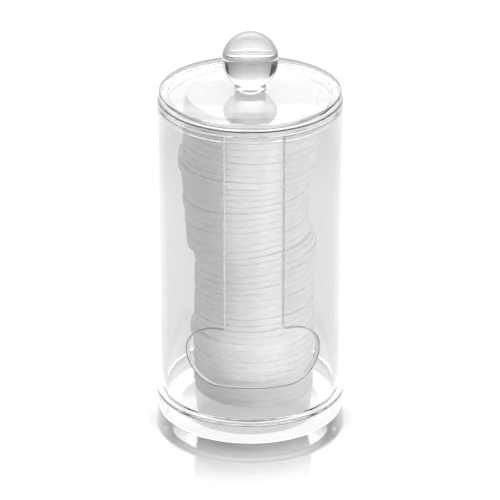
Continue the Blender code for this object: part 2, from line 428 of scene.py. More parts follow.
@dataclass(frozen=True)
class ClearFinish:
    """Polished clear plastic with the faint waves that moulding and turning leave in it."""

    name: str
    tint: Triple = (0.92, 0.922, 0.925)
    depth_tint: Triple = (0.5, 0.52, 0.54)
    depth_density: float = 8.0
    refraction: float = 1.49
    light_passed: float = 0.97
    wave_scale: float = 70.0
    wave_height: float = 0.02 * MM
    scuff_scale: float = 420.0
    scuff_range: Span = (0.45, 0.8)
    haze: Span = (0.0, 0.035)
    clearness: float = 1.0
    spread: float = 0.0

    def build(self) -> Material:
        """Makes the material.

        Returns:
            Clear plastic whose haze and waves follow the piece, and which lets lamps through.
        """
        material = bpy.data.materials.new(self.name)
        nodes = Nodes(material)
        place = nodes.place()
        waves = nodes.noise(place, self.wave_scale, detail=1.5, roughness=0.4)
        scuffs = nodes.noise(place, self.scuff_scale, detail=3.0, roughness=0.6)
        plastic = nodes.add("BsdfPrincipled", {
            "Base Color": (*self.tint, 1.0), "IOR": self.refraction,
            "Roughness": nodes.between(scuffs, self.scuff_range, self.haze),
            "Transmission Weight": self.clearness,
            "Subsurface Weight": 1.0 if self.spread else 0.0,
            "Subsurface Radius": EVEN, "Subsurface Scale": self.spread,
            "Normal": nodes.add("Bump", {
                "Strength": 1.0, "Distance": self.wave_height, "Height": waves})})
        depth = nodes.add("VolumeAbsorption", {
            "Color": (*self.depth_tint, 1.0), "Density": self.depth_density})
        passed = nodes.add("BsdfTransparent", {"Color": grey(self.light_passed)})
        nodes.show(nodes.blend(nodes.ray("Is Shadow Ray"), plastic, passed), depth)
        return material


@dataclass(frozen=True)
class CementFinish:
    """A cemented joint: the two pieces are one to the light."""

    name: str = "cemented_joint"
    tint: Triple = (0.995, 0.995, 1.0)

    def build(self) -> Material:
        """Makes the material."""
        material = bpy.data.materials.new(self.name)
        nodes = Nodes(material)
        nodes.show(nodes.add("BsdfTransparent", {"Color": (*self.tint, 1.0)}))
        return material


@dataclass(frozen=True)
class CottonFinish:
    """Felted cotton: matt, faintly mottled, with fine fibres lying in thin plies."""

    name: str = "cotton_wool"
    pale: Triple = (0.945, 0.945, 0.94)
    shaded: Triple = (0.86, 0.86, 0.855)
    mottle_scale: float = 260.0
    mottle_range: Span = (0.3, 0.7)
    fibre_scale: float = 1500.0
    fibre_height: float = 0.28 * MM
    fibre_relief: float = 0.55
    ply_stretch: float = 3.2
    gloss: float = 0.1
    sheen: float = 0.15
    sheen_roughness: float = 0.6
    softness: float = 0.15
    soft_depth: float = 1.0 * MM

    def build(self) -> Material:
        """Makes the material.

        Returns:
            Cotton whose mottling, fibres and plies follow the piece.
        """
        material = bpy.data.materials.new(self.name)
        nodes = Nodes(material)
        flat = nodes.add("Mapping", {
            "Vector": nodes.place(), "Scale": (1.0, 1.0, self.ply_stretch)})
        mottle = nodes.noise(flat, self.mottle_scale, detail=4.0, roughness=0.55)
        fibres = nodes.noise(flat, self.fibre_scale, detail=3.0, roughness=0.65, distortion=0.8)
        colour = nodes.add("Mix", {
            0: nodes.between(mottle, self.mottle_range), 6: (*self.shaded, 1.0),
            7: (*self.pale, 1.0)}, 2, data_type="RGBA")
        bump = nodes.add("Bump", {
            "Strength": self.fibre_relief, "Distance": self.fibre_height,
            "Height": nodes.work("ADD", mottle, fibres)})
        nodes.show(nodes.add("BsdfPrincipled", {
            "Base Color": colour, "Roughness": 1.0, "Specular IOR Level": self.gloss,
            "Sheen Weight": self.sheen, "Sheen Roughness": self.sheen_roughness,
            "Subsurface Weight": self.softness, "Subsurface Radius": EVEN,
            "Subsurface Scale": self.soft_depth, "Normal": bump}))
        return material


@dataclass
class Foot:
    """The moulded foot: floor, groove for the tube, flange, drafted skirt and hollow."""

    height: float = 11.0 * MM
    flange_radius: float = 45.05 * MM
    base_radius: float = 43.95 * MM
    skirt_wall: float = 2.4 * MM
    underside: float = 8.4 * MM
    seat: float = 10.2 * MM
    groove_inner: float = 39.95 * MM
    groove_outer: float = 42.55 * MM
    groove_rounding: float = 0.15 * MM
    flange_rounding: float = 0.7 * MM
    rim_rounding: float = 0.3 * MM
    hollow_rounding: float = 1.0 * MM
    facets: int = 288

    def build(self, finish: Material, cement: Material) -> Piece:
        """Turns the foot.

        Args:
            finish: The clear plastic it is moulded from.
            cement: The joint in the groove that holds the tube.

        Returns:
            The foot.
        """
        draft = (self.flange_radius - self.base_radius) / self.height
        inside = self.base_radius - self.skirt_wall
        piece = Bench.turn("clear_foot", [
            Corner(0.0, self.height),
            Corner(self.groove_inner, self.height, self.groove_rounding),
            Corner(self.groove_inner, self.seat),
            Corner(self.groove_outer, self.seat),
            Corner(self.groove_outer, self.height, self.groove_rounding),
            Corner(self.flange_radius, self.height, self.flange_rounding),
            Corner(self.base_radius, 0.0, self.rim_rounding),
            Corner(inside, 0.0, self.rim_rounding),
            Corner(inside + draft * self.underside, self.underside, self.hollow_rounding),
            Corner(0.0, self.underside),
        ], self.facets)
        Bench.dress(piece, finish)
        Bench.paint(piece, cement, self.in_groove)
        Bench.register(piece, "foot", Body.JAR, Slot.CLEAR)
        return piece

    def in_groove(self, away: float, height: float) -> bool:
        """Whether a place is on the cemented walls or the bottom of the groove."""
        beside, below, under_edge = 0.05 * MM, 0.1 * MM, 0.2 * MM
        return (self.groove_inner - beside < away < self.groove_outer + beside
                and self.seat - below < height < self.height - under_edge)


@dataclass
class Tube:
    """The clear tube with its rim band, opened at the front by a mouth and a finger slot."""

    bore: float = 40.0 * MM
    outer: float = 42.5 * MM
    base: float = 10.22 * MM
    floor: float = 10.8 * MM
    rim: float = 154.1 * MM
    band_height: float = 3.2 * MM
    band_relief: float = 0.2 * MM
    sill: float = 28.2 * MM
    sill_cuts: int = 35
    lintel: float = 57.4 * MM
    mouth_half: float = 31.025 * MM
    mouth_roundness: float = 0.999
    slot_half: float = 13.7 * MM
    slot_corner: float = 1.6 * MM
    slot_overrun: float = 5.0 * MM
    corner_steps: int = 24
    cutter_reach: Span = (0.5, 1.5)
    edge: float = 0.28 * MM
    facets: int = 288

    def outline(self) -> list[Vector]:
        """The keyhole's corners as seen from the front, from the slot's top round the mouth."""
        left = [(-self.slot_half, self.rim + self.slot_overrun), (-self.slot_half, self.lintel),
                (-self.mouth_half, self.lintel), (-self.mouth_half, self.sill)]
        right = [(-x, z) for x, z in reversed(left)]
        return [Vector((x, 0.0, z)) for x, z in left + right]

    def layers(self) -> list[Span]:
        """The cutter's layers, which widen at both faces of the wall and so round its edges.

        Returns:
            Each layer's distance from the axis and how far it stands out beyond the outline.
        """
        near = self.edge * (1 - math.sqrt(0.5))
        wide = self.edge * (1 + math.sqrt(0.5))
        start, end = (self.outer * reach for reach in self.cutter_reach)
        inner = [(start, wide), (self.bore - near, wide), (self.bore + near, near),
                 (self.bore + self.edge, 0.0)]
        outer = [(self.outer - self.edge, 0.0), (self.outer - near, near),
                 (self.outer + near, wide), (end, wide)]
        return inner + outer

    def flat_keyhole(self) -> Piece:
        """Draws the keyhole flat, with round corners and a sill of short steps."""
        places = self.outline()
        piece = Bench.draw_outline("keyhole_cutter", places)
        mouth = (self.lintel - self.sill) / 2 * self.mouth_roundness
        roundings = (self.slot_corner, mouth, mouth, mouth, mouth, self.slot_corner)
        for index, rounding in enumerate(roundings, start=1):
            Bench.round_corner(places, index, rounding, self.corner_steps)
        Bench.merge()
        Bench.select("VERT", lambda vertex: abs(vertex.co.z - self.sill) < MERGE)
        bpy.ops.mesh.subdivide(number_cuts=self.sill_cuts)
        Bench.leave()
        return piece

    def cutter(self) -> Piece:
        """Wraps the keyhole round the tube as a radial cutter.

        Returns:
            The closed cutter, which is removed once it has cut.
        """
        piece = self.flat_keyhole()
        ring = [piece.data.vertices[index].co.copy() for index in piece.data.polygons[0].vertices]
        outwards = self.outwards(ring)
        layers = self.layers()
        Bench.edit(everything=True)
        for _ in layers[1:]:
            bpy.ops.mesh.extrude_region_move(
                TRANSFORM_OT_translate={"value": (0.0, -self.outer, 0.0)})
        Bench.leave()
        for vertex in piece.data.vertices:
            nearest = min(range(len(ring)), key=lambda index: math.hypot(
                ring[index].x - vertex.co.x, ring[index].z - vertex.co.z))
            away, widening = layers[round(-vertex.co.y / self.outer)]
            place = ring[nearest] + outwards[nearest] * widening
            share = away / self.outer
            ahead = math.sqrt(self.outer ** 2 - place.x ** 2)
            vertex.co = (place.x * share, -ahead * share, place.z)
        Bench.modify(piece, "TRIANGULATE")
        Bench.edit()
        Bench.close()
        return piece

    @staticmethod
    def outwards(ring: list[Vector]) -> list[Vector]:
        """The directions straight out of a flat outline.

        Args:
            ring: The outline's points in order, in the XZ plane.

        Returns:
            One direction of length one for each point.
        """
        turned = sum(here.x * after.z - after.x * here.z
                     for here, after in zip(ring, ring[1:] + ring[:1]))
        side = math.copysign(1.0, turned)
        found = []
        for before, after in zip(ring[-1:] + ring[:-1], ring[1:] + ring[:1]):
            along = (after - before).normalized()
            found.append(Vector((along.z, 0.0, -along.x)) * side)
        return found

    def build(self, finish: Material, cement: Material, cut_edge: Material,
              mouth_edge_shade: Material, slot_arris: Material) -> Piece:
        """Turns the tube and cuts the keyhole.

        Args:
            finish: The clear plastic of the tube.
            cement: The joint that holds its lower end in the foot.
            cut_edge: The silky finish of the keyhole's cut faces.
            mouth_edge_shade: The finish of the narrow roundings along the mouth's edges, tinted
                dark as painted shade so that they show as dark lines.
            slot_arris: The finish of those along the slot and the rim.

        Returns:
            The tube.
        """
        band = self.outer + self.band_relief
        foot_of_band = self.rim - self.band_height
        piece = Bench.turn("clear_tube", [
            Corner(self.bore, self.base),
            Corner(self.bore, self.floor),
            Corner(self.bore, self.rim, self.edge),
            Corner(band, self.rim, self.edge),
            Corner(band, foot_of_band),
            Corner(self.outer, foot_of_band - self.band_relief),
            Corner(self.outer, self.floor),
            Corner(self.outer, self.base),
        ], self.facets)
        knife = self.cutter()
        Bench.modify(piece, "BOOLEAN", operation="DIFFERENCE", solver="EXACT", object=knife)
        bpy.data.objects.remove(knife, do_unlink=True)
        Bench.modify(piece, "WELD", merge_threshold=MERGE)
        Bench.smooth(piece)
        Bench.modify(piece, "WEIGHTED_NORMAL", weight=90, keep_sharp=True)
        Bench.dress(piece, finish, cement, cut_edge, mouth_edge_shade, slot_arris)
        for face in piece.data.polygons:
            face.material_index = self.finish_of(face)
        Bench.register(piece, "jar_tube", Body.JAR, Slot.CLEAR)
        return piece

    def finish_of(self, face: bpy.types.MeshPolygon) -> TubeFace:
        """Which of the tube's finishes a face has."""
        place = face.center
        cut_face, wall, margin = 0.15, 0.98, 1.0 * MM
        across = abs(face.normal.dot(Vector((place.x, place.y, 0.0)).normalized()))
        if place.z > self.floor + margin and cut_face < across < wall:
            in_mouth = place.z < self.lintel + margin / 2
            return TubeFace.MOUTH_ROUNDING if in_mouth else TubeFace.SLOT_ROUNDING
        if self.floor + margin < place.z < self.rim - margin and across < cut_face:
            return TubeFace.CUT
        return TubeFace.CEMENTED if place.z < self.floor - TOUCH / 2 else TubeFace.WALL


@dataclass
class Lid:
    """The lift-off lid: flanged ring, thick plate and ball knob, cemented together."""

    ring_seat: float = 154.4 * MM
    flange_top: float = 156.7 * MM
    plate_seat: float = 156.9 * MM
    plate_top: float = 161.1 * MM
    plate_radius: float = 41.85 * MM
    plate_base_radius: float = 42.35 * MM
    flange_radius: float = 42.65 * MM
    ring_outer: float = 39.6 * MM
    ring_inner: float = 37.5 * MM
    ring_foot: float = 150.9 * MM
    ring_rounding: float = 0.3 * MM
    inner_rounding: float = 0.25 * MM
    top_rounding: float = 0.45 * MM
    base_rounding: float = 0.2 * MM
    peg_radius: float = 2.5 * MM
    peg_rounding: float = 0.4 * MM
    neck_radius: float = 7.3 * MM
    neck_height: float = 3.5 * MM
    neck_rounding: float = 0.35 * MM
    contact: float = 7.0 * MM
    ball_radius: float = 13.1 * MM
    ball_segments: int = 160
    ball_rings: int = 96
    # Height and reach of the near-black band of painted shade at the joint of plate and ring.
    shade_band: float = 0.6 * MM
    shade_band_reach: float = 0.7 * MM
    joint_margin: float = 0.1 * MM
    facets: int = 288
    pieces: list[Piece] = field(default_factory=list)

    def build(self, finish: Material, knob_finish: Material,
              cement: Material, shade_band: Material) -> list[Piece]:
        """Builds the ring, the plate and the knob.

        Args:
            finish: The clear plastic of the plate and the ring.
            knob_finish: The clear plastic of the knob.
            cement: The cemented joint between the plate and the knob.
            shade_band: Painted shade: a near-black band round the plate's lower edge that draws
                its joint with the ring as a dark line.

        Returns:
            The three pieces.
        """
        self.pieces = [self.ring(), self.plate(), self.knob()]
        finishes = (finish, finish, knob_finish)
        for piece, node, plastic in zip(self.pieces, ("lid_ring", "lid_plate", "knob"), finishes):
            Bench.dress(piece, plastic)
            Bench.register(piece, node, Body.LID, Slot.LID)
        ring, plate, knob = self.pieces
        # The joint of plate and ring gets a near-black band of painted shade.
        for piece in (ring, plate):
            Bench.paint(piece, shade_band, self.at_joint_shade)
        Bench.paint(plate, cement, lambda away, height: (
            self.in_hole(away, height) or self.under_neck(away, height)))
        Bench.paint(knob, cement, self.in_hole)
        return self.pieces

    def at_joint_shade(self, away: float, height: float) -> bool:
        """Whether a place is at the plate's lower edge or the ring's inner top edge, where the
        joint's painted shade goes.
        """
        outer = away > self.flange_radius - self.shade_band_reach and (
            self.plate_seat - TOUCH < height < self.plate_seat + self.shade_band)
        inner = away < self.ring_inner + self.inner_rounding and (
            self.flange_top - self.inner_rounding < height < self.flange_top + TOUCH)
        return outer or inner

    def under_neck(self, away: float, height: float) -> bool:
        """Whether a place of the plate is where the knob's neck stands."""
        return away < self.contact and abs(height - self.plate_top) < self.joint_margin

    def in_hole(self, away: float, height: float) -> bool:
        """Whether a place is where the peg is cemented into the plate."""
        return away < self.peg_radius + 2 * self.joint_margin and (
            self.plate_seat + 5 * self.joint_margin < height < self.plate_top - self.joint_margin)

    def ring(self) -> Piece:
        """Turns the ring whose flange rests on the tube's rim."""
        return Bench.turn("clear_ring", [
            Corner(self.ring_inner, self.flange_top, self.inner_rounding),
            Corner(self.flange_radius, self.flange_top, self.ring_rounding),
            Corner(self.flange_radius, self.ring_seat, self.ring_rounding),
            Corner(self.ring_outer, self.ring_seat),
            Corner(self.ring_outer, self.ring_foot, self.ring_rounding),
            Corner(self.ring_inner, self.ring_foot, self.ring_rounding),
        ], self.facets)

    def plate(self) -> Piece:
        """Turns the plate, whose side widens to its lower edge, with the hole for the peg."""
        hole = self.peg_radius + TOUCH
        draft = (self.plate_base_radius - self.plate_radius) / (self.plate_top - self.plate_seat)
        return Bench.turn("clear_plate", [
            Corner(hole, self.plate_seat),
            Corner(hole, self.plate_top),
            Corner(self.contact, self.plate_top),
            Corner(self.plate_radius, self.plate_top, self.top_rounding),
            Corner(self.plate_base_radius - self.shade_band * draft, self.plate_seat + self.shade_band),
            Corner(self.plate_base_radius, self.plate_seat, self.base_rounding),
            Corner(self.ring_inner, self.plate_seat),
        ], self.facets)

    def knob(self) -> Piece:
        """Cuts a ball off flat and draws the neck and the peg down out of the cut.

        Returns:
            The knob.
        """
        seat = self.plate_top + TOUCH
        drop = math.sqrt(self.ball_radius ** 2 - self.neck_radius ** 2)
        cut = seat + self.neck_height
        Bench.put_down()
        bpy.ops.mesh.primitive_uv_sphere_add(
            segments=self.ball_segments, ring_count=self.ball_rings, radius=self.ball_radius,
            location=(0.0, 0.0, cut + drop))
        piece = bpy.context.object
        piece.name = piece.data.name = "clear_knob"
        Bench.settle(piece)
        Bench.edit()
        bpy.ops.mesh.select_mode(type="VERT")
        Bench.select_all()
        bpy.ops.mesh.bisect(plane_co=(0.0, 0.0, cut), plane_no=(0.0, 0.0, 1.0), clear_inner=True,
                            threshold=MERGE / 10)
        level, radius = cut, self.neck_radius
        Bench.select("VERT", lambda vertex: abs(vertex.co.z - cut) < MERGE)
        for next_radius, next_level in self.neck_steps(seat):
            bpy.ops.mesh.extrude_edges_move(
                TRANSFORM_OT_translate={"value": (0.0, 0.0, next_level - level)})
            share = next_radius / radius
            bpy.ops.transform.resize(value=(share, share, 1.0), center_override=(0.0, 0.0, 0.0))
            level, radius = next_level, next_radius
        bpy.ops.mesh.edge_face_add()
        Bench.close()
        Bench.smooth(piece)
        return piece

    def neck_steps(self, seat: float) -> list[Span]:
        """Radii and levels down the neck and the peg.

        Args:
            seat: The height at which the neck stands on the plate.

        Returns:
            Radius and level of each ring below the ball.
        """
        soft, tip = self.neck_rounding, self.peg_rounding
        neck = [(self.neck_radius - soft * (1 - math.cos(turn)),
                 seat + soft * (1 - math.sin(turn)))
                for turn in map(math.radians, (0, 30, 60, 90))]
        end = self.plate_seat + tip
        peg = [(self.peg_radius, seat), (self.peg_radius, end)]
        peg += [(self.peg_radius - tip * (1 - math.cos(turn)), end - tip * math.sin(turn))
                for turn in map(math.radians, (45, 90))]
        return neck + peg


@dataclass(frozen=True)
class Lean:
    """How the stack stands at one height: sideways shift, radius share and slope."""

    height: float
    shift: float
    radius: float
    slope: float


@dataclass
class PadStack:
    """The stack of round cotton pads, leaning as soft things do."""

    pad_radius: float = 28.5 * MM
    count: int = 45
    drawn: int = 10
    base: float = 11.15 * MM
    top: float = 156.2 * MM
    crown: float = 0.4 * MM
    facets: int = 120
    insets: tuple[float, ...] = (0.02, 0.04, 0.08, 0.16, 0.22, 0.22)
    side_cuts: int = 7
    smooth_angle: float = math.radians(80)
    rim_roll: float = 0.20 * MM
    roll_spread: Span = (0.5, 1.3)
    roll_seed: int = 1000
    crease_roll: float = 1.0 * MM
    creases: tuple[int, ...] = (12, 19, 23, 31, 36)
    curl_height: float = 0.97
    curl_share: float = 0.85
    face_share: float = 0.75
    reach_spread: float = 0.005
    slow_pitch: float = 2.2
    slow_height: float = 0.26 * MM
    fine_pitch: Span = (9.0, 1.2)
    fine_height: float = 0.2 * MM
    phase_spread: float = 50.0
    drawn_looseness: float = 0.3
    press_gap: float = 0.06 * MM
    leans: tuple[Lean, ...] = (
        Lean(0.00, 0.055, 1.000, 0.000),
        Lean(0.20, 0.050, 0.990, 0.012),
        Lean(0.34, 0.065, 0.985, 0.060),
        Lean(0.44, 0.090, 1.000, 0.115),
        Lean(0.50, 0.085, 1.000, 0.140),
        Lean(0.55, -0.045, 1.000, 0.120),
        Lean(0.70, -0.080, 1.020, 0.030),
        Lean(0.76, -0.080, 1.045, -0.020),
        Lean(0.80, -0.060, 1.115, -0.040),
        Lean(0.86, 0.020, 1.110, -0.020),
        Lean(0.94, 0.035, 1.075, 0.000),
        Lean(1.00, 0.015, 1.050, 0.000),
    )
    jitter: float = 0.012
    jitter_turns: Span = (2.4, 1.7)
    pieces: list[Piece] = field(default_factory=list)

    def lean_at(self, share: float) -> Triple:
        """The stack's stance at one height.

        Args:
            share: The height as a share of the stack.

        Returns:
            Shift, radius share and slope.
        """
        for lower, upper in zip(self.leans, self.leans[1:]):
            if share <= upper.height:
                break
        part = (share - lower.height) / (upper.height - lower.height)
        part = part * part * (3 - 2 * part)
        return tuple(a + (b - a) * part for a, b in (
            (lower.shift, upper.shift), (lower.radius, upper.radius), (lower.slope, upper.slope)))

    def stance(self, number: int) -> Triple:
        """Where one pad lies and how large it is.

        Args:
            number: The pad's number, counted from one at the bottom.

        Returns:
            Its centre across and ahead, and its radius.
        """
        if number == self.drawn:
            return 0.0, 0.0, self.pad_radius
        shift, radius, _ = self.lean_at((number - 0.5) / self.count)
        turn_across, turn_ahead = self.jitter_turns
        across = self.pad_radius * (shift + self.jitter * math.sin(turn_across * number))
        ahead = self.pad_radius * self.jitter * math.cos(turn_ahead * number)
        return across, ahead, self.pad_radius * radius

    def blank(self) -> Piece:
        """Models one flat pad of unit size: a disc with a rolled rim and even quads inside.

        Returns:
            The blank, a disc of radius one between the heights minus one and one.
        """
        Bench.put_down()
        bpy.ops.mesh.primitive_cylinder_add(
            vertices=self.facets, radius=1.0, depth=2.0, end_fill_type="NGON")
        piece = bpy.context.object
        Bench.edit()
        Bench.select("FACE", lambda face: abs(face.normal.z) > 0.5)
        for reach in self.insets:
            bpy.ops.mesh.inset(thickness=reach, depth=0.0, use_individual=True)
        bpy.ops.mesh.poke()
        Bench.select("EDGE", lambda edge: abs(edge.verts[0].co.z - edge.verts[1].co.z) > 1.0)
        bpy.ops.mesh.subdivide(number_cuts=self.side_cuts)
        Bench.leave()
        return piece

    def roll_at(self, level: int) -> float:
        """How far the rims roll in at the face between two pads.

        Args:
            level: The number of the pad under the face.

        Returns:
            The radius of the rolled rims there.
        """
        if level in self.creases:
            return self.crease_roll
        return self.rim_roll * random.Random(self.roll_seed + level).uniform(*self.roll_spread)

    def shape(self, piece: Piece, number: int) -> None:
        """Presses a copy of the blank to the pads under and over it and roughens its rim.

        Args:
            piece: The copy.
            number: The pad's number.
        """
        across, ahead, radius = self.stance(number)
        pitch = (self.top - self.base) / self.count
        under = self.base + pitch * (number - 1)
        under_slope = self.lean_at((number - 1) / self.count)[2]
        over_slope = self.lean_at(number / self.count)[2]
        chance = random.Random(number)
        phase = Vector([chance.uniform(0.0, self.phase_spread) for _ in range(3)])
        loose = self.drawn_looseness if number == self.drawn else 1.0
        reach_out = radius * (1.0 + loose * chance.uniform(-self.reach_spread, self.reach_spread))
        wide, high_pitch = self.fine_pitch
        centre, rim = 0.001, 0.999
        rolls = (self.roll_at(number - 1), self.roll_at(number))
        for vertex in piece.data.vertices:
            x, y, z = vertex.co
            reach = math.hypot(x, y)
            side = Vector((x, y, 0.0)).normalized() if reach > centre else Vector((0.0, 0.0, 0.0))
            roll = rolls[0] if z < 0 else rolls[1]
            slow = noise.noise(side * self.slow_pitch + phase) * self.slow_height * loose
            if reach > rim:
                fine = noise.noise(Vector((side.x * wide, side.y * wide, z * high_pitch)) + phase)
                curl = self.curl_share * (1 - math.sqrt(max(0.0, 1 - (z * self.curl_height) ** 2)))
                out = reach_out + slow + fine * self.fine_height * loose - curl * roll
            else:
                inner = reach_out + slow - roll * self.face_share
                out = min((reach_out + slow) * reach, inner)
            px = across + side.x * out
            py = ahead + side.y * out
            low = under + under_slope * px
            high = under + pitch + over_slope * px
            thickness = high - low - self.press_gap
            crown = self.crown * (1 - reach ** 2) if number == self.count and z > 0 else 0.0
            vertex.co = (px, py, (low + high) / 2 + thickness * z * 0.5 + max(0.0, crown))

    def build(self, finish: Material) -> list[Piece]:
        """Copies, shapes and dresses every pad.

        Args:
            finish: The cotton.

        Returns:
            The pads from the bottom up.
        """
        blank = self.blank()
        for number in range(1, self.count + 1):
            piece = blank.copy()
            piece.data = blank.data.copy()
            piece.name = piece.data.name = f"soft_pad_{number:02d}"
            bpy.context.scene.collection.objects.link(piece)
            self.shape(piece, number)
            Bench.smooth(piece, self.smooth_angle)
            Bench.dress(piece, finish)
            body = Body.DRAWN_PAD if number == self.drawn else Body.JAR
            Bench.register(piece, f"cotton_pad_{number:02d}", body, Slot.COTTON)
            self.pieces.append(piece)
        bpy.data.objects.remove(blank, do_unlink=True)
        return self.pieces


@dataclass(frozen=True)
class TablePlace:
    """What the table's nodes know of a place: where it lies, its distance from the object's
    axis, one if it is outside the foot, and how far round to the front it is, at most one."""

    place: Socket
    away: Socket
    outside: Socket
    front: Socket


@dataclass
class Studio:
    """Pale glossy table, white surroundings, black cards at the sides and soft lamps."""

    table_size: float = 6.0
    table_grey: float = 0.55
    plain_grey: float = 0.8
    # Painted shadow of the pad stack on the table under the foot: where its edge lies, and the
    # glow inside and outside it.
    stack_shadow_edge: Span = (32.3 * MM, 33.3 * MM)
    stack_shadow_glow: Span = (0.55, 0.91)
    # Painted contact shadow round the foot, darkest in front: how far it reaches, where it turns,
    # and its glow near and far.
    contact_shadow_end: float = 60.0 * MM
    contact_shadow_front: Span = (-0.2, 0.4)
    contact_shadow_dark: Span = (0.62, 0.32)
    contact_shadow_far: float = 0.68
    mirror_edge: float = 44.0 * MM
    mirror_end: float = 92.0 * MM
    mirror_under: float = 0.1
    mirror_strength: float = 0.85
    mirror_sides: float = 0.25
    mirror_front: Span = (0.38, 0.72)
    mirror_roughness: float = 0.1
    # Painted shade on the table's reflection close in front of the foot, deeper at the sides.
    mirror_shade: float = 0.33
    side_shade: float = 0.6
    shade_front: Span = (0.15, 0.5)
    shade_aside: Span = (24.0 * MM, 34.0 * MM)
    shade_reach: Span = (46.0 * MM, 74.0 * MM)
    # Painted shade: the greys that the table shows through clear plastic, by distance from the
    # axis.
    through: Levels = (
        (0.06, 0.75), (0.12, 0.88), (0.25, 0.88), (0.33, 0.76), (0.37, 0.86), (0.53, 0.86))
    back_power: float = 4.5
    side_power: float = 13.0
    left_power: float = 4.2
    front_power: float = 4.2
    lamp_aim: Triple = (0.0, 0.0, 0.08)
    world_light: float = 0.42
    room_turn: Span = (0.0, 0.6)
    room_sides: float = 0.45
    black_card: float = 0.02
    grey_card: float = 0.4
    sweep_width: float = 3.0
    sweep_lift: float = 2.0 * MM
    sweep_steps: int = 12
    sweep_turn: Span = (0.2, 0.75)
    sweep_sides: float = 0.5
    sweep_eye: float = 0.16
    sweep_reach: tuple[float, float, float, float] = (0.53, 1.1, 0.4, 3.0)
    sweep_levels: Levels = (
        (-0.30, 0.48), (-0.10, 0.64), (0.05, 0.85), (0.18, 1.0), (0.36, 1.6), (0.48, 1.75),
        (0.53, 3.4), (0.9, 4.2), (1.1, 4.2), (1.3, 1.6))

    def build(self) -> None:
        """Builds the table, the surroundings, the cards and the lamps."""
        self.table()
        self.surroundings()
        self.cards()
        self.sweep()
        self.lamp("back_lamp", (0.0, 1.15, 0.75), (0.9, 0.5), self.back_power)
        self.lamp("side_lamp", (1.25, -0.75, 0.65), (0.8, 0.8), self.side_power)
        self.lamp("left_lamp", (-1.3, -0.8, 0.6), (0.8, 0.8), self.left_power)
        self.lamp("front_lamp", (0.1, -1.75, 0.55), (1.0, 0.8), self.front_power)

    def table(self) -> None:
        """A white table whose polish shows the object's foot and fades outwards, and whose white
        carries painted shadows near the foot.
        """
        Bench.put_down()
        bpy.ops.mesh.primitive_plane_add(size=self.table_size, location=(0.0, 0.0, 0.0))
        table = bpy.context.object
        table.name = "table"
        material = bpy.data.materials.new("white_table")
        nodes = Nodes(material)
        place = nodes.place()
        away = nodes.add("VectorMath", {0: place}, "Value", operation="LENGTH")
        spot = TablePlace(
            place, away, outside=nodes.work("GREATER_THAN", away, self.mirror_edge),
            front=nodes.towards(
                nodes.add("VectorMath", {0: place}, operation="NORMALIZE"), (0.0, -1.0, 0.0)))
        reach = nodes.between(spot.front, self.mirror_front, (
            self.mirror_strength * self.mirror_sides, self.mirror_strength))
        polish = nodes.between(away, (self.mirror_edge, self.mirror_end), (reach, 0.0))
        polished = nodes.blend(
            nodes.choose(spot.outside, self.mirror_under, polish),
            self.table_white(nodes, spot), self.table_mirror(nodes, spot))
        plain = nodes.add("BsdfDiffuse", {"Color": grey(self.plain_grey)})
        nodes.show(nodes.blend(nodes.seen_ray(), plain, polished))
        Bench.dress(table, material)

    def table_white(self, nodes: Nodes, spot: TablePlace) -> Socket:
        """The table's white, with painted shade: the pad stack's shadow in the foot's hollow, a
        shadow close in front and greys through plastic.
        """
        # Painted contact shadow: the glow drops close to the foot, most in front.
        shadow_darkest = nodes.between(spot.front, self.contact_shadow_front, self.contact_shadow_dark)
        contact = nodes.between(
            spot.away, (self.mirror_edge, self.contact_shadow_end), (shadow_darkest, self.contact_shadow_far))
        # Painted shadow of the pad stack: the glow is dimmer inside its edge under the foot.
        painted_stack_shadow = nodes.between(spot.away, self.stack_shadow_edge, self.stack_shadow_glow)
        glow = nodes.add("Emission", {
            "Color": grey(1.0), "Strength": nodes.choose(spot.outside, painted_stack_shadow, contact)})
        matt = nodes.add("BsdfDiffuse", {"Color": grey(self.table_grey)})
        lit = nodes.add("AddShader", {0: matt, 1: glow})
        # Painted shade: seen through clear plastic outside the foot, the table takes the listed
        # greys by distance from the axis.
        through = nodes.add("Emission", {
            "Color": nodes.ramp(spot.away, self.through), "Strength": brightest(self.through)})
        behind = nodes.work("MULTIPLY", nodes.ray("Is Transmission Ray"), spot.outside)
        return nodes.blend(behind, lit, through)

    def table_mirror(self, nodes: Nodes, spot: TablePlace) -> Socket:
        """The table's polish, with painted shade that greys its reflection close in front of the
        foot.
        """
        aside = nodes.work("ABSOLUTE", nodes.add("SeparateXYZ", {0: spot.place}, "X"))
        deepest = nodes.between(aside, self.shade_aside, (self.mirror_shade, self.side_shade))
        near = nodes.between(spot.away, self.shade_reach, (deepest, 0.0))
        shade = nodes.work("MULTIPLY", nodes.between(spot.front, self.shade_front), near)
        tone = nodes.work("SUBTRACT", 1.0, shade)
        return nodes.add("BsdfGlossy", {
            "Color": nodes.add("CombineXYZ", {0: tone, 1: tone, 2: tone}),
            "Roughness": self.mirror_roughness})

    def surroundings(self) -> None:
        """A room that is white behind the object and dimmer at the sides, and its light."""
        world = bpy.data.worlds.new("white_room")
        bpy.context.scene.world = world
        nodes = Nodes(world)
        behind = nodes.towards(nodes.add("TexCoord", result="Generated"), (0.0, 1.0, 0.0))
        level = nodes.between(behind, self.room_turn, (self.room_sides, 1.0))
        seen = nodes.add("Background", {
            "Color": grey(1.0), "Strength": nodes.choose(nodes.ray("Is Camera Ray"), level, 1.0)})
        light = nodes.add("Background", {"Color": grey(1.0), "Strength": self.world_light})
        nodes.node("OutputWorld", {"Surface": nodes.blend(nodes.seen_ray(), light, seen)})

    @staticmethod
    def set_aside(sheet: Piece) -> None:
        """Hides a sheet from the camera, from diffuse light and from shadows, so that it only
        shows in the object's clear surfaces.
        """
        sheet.visible_camera = False
        sheet.visible_diffuse = False
        sheet.visible_shadow = False

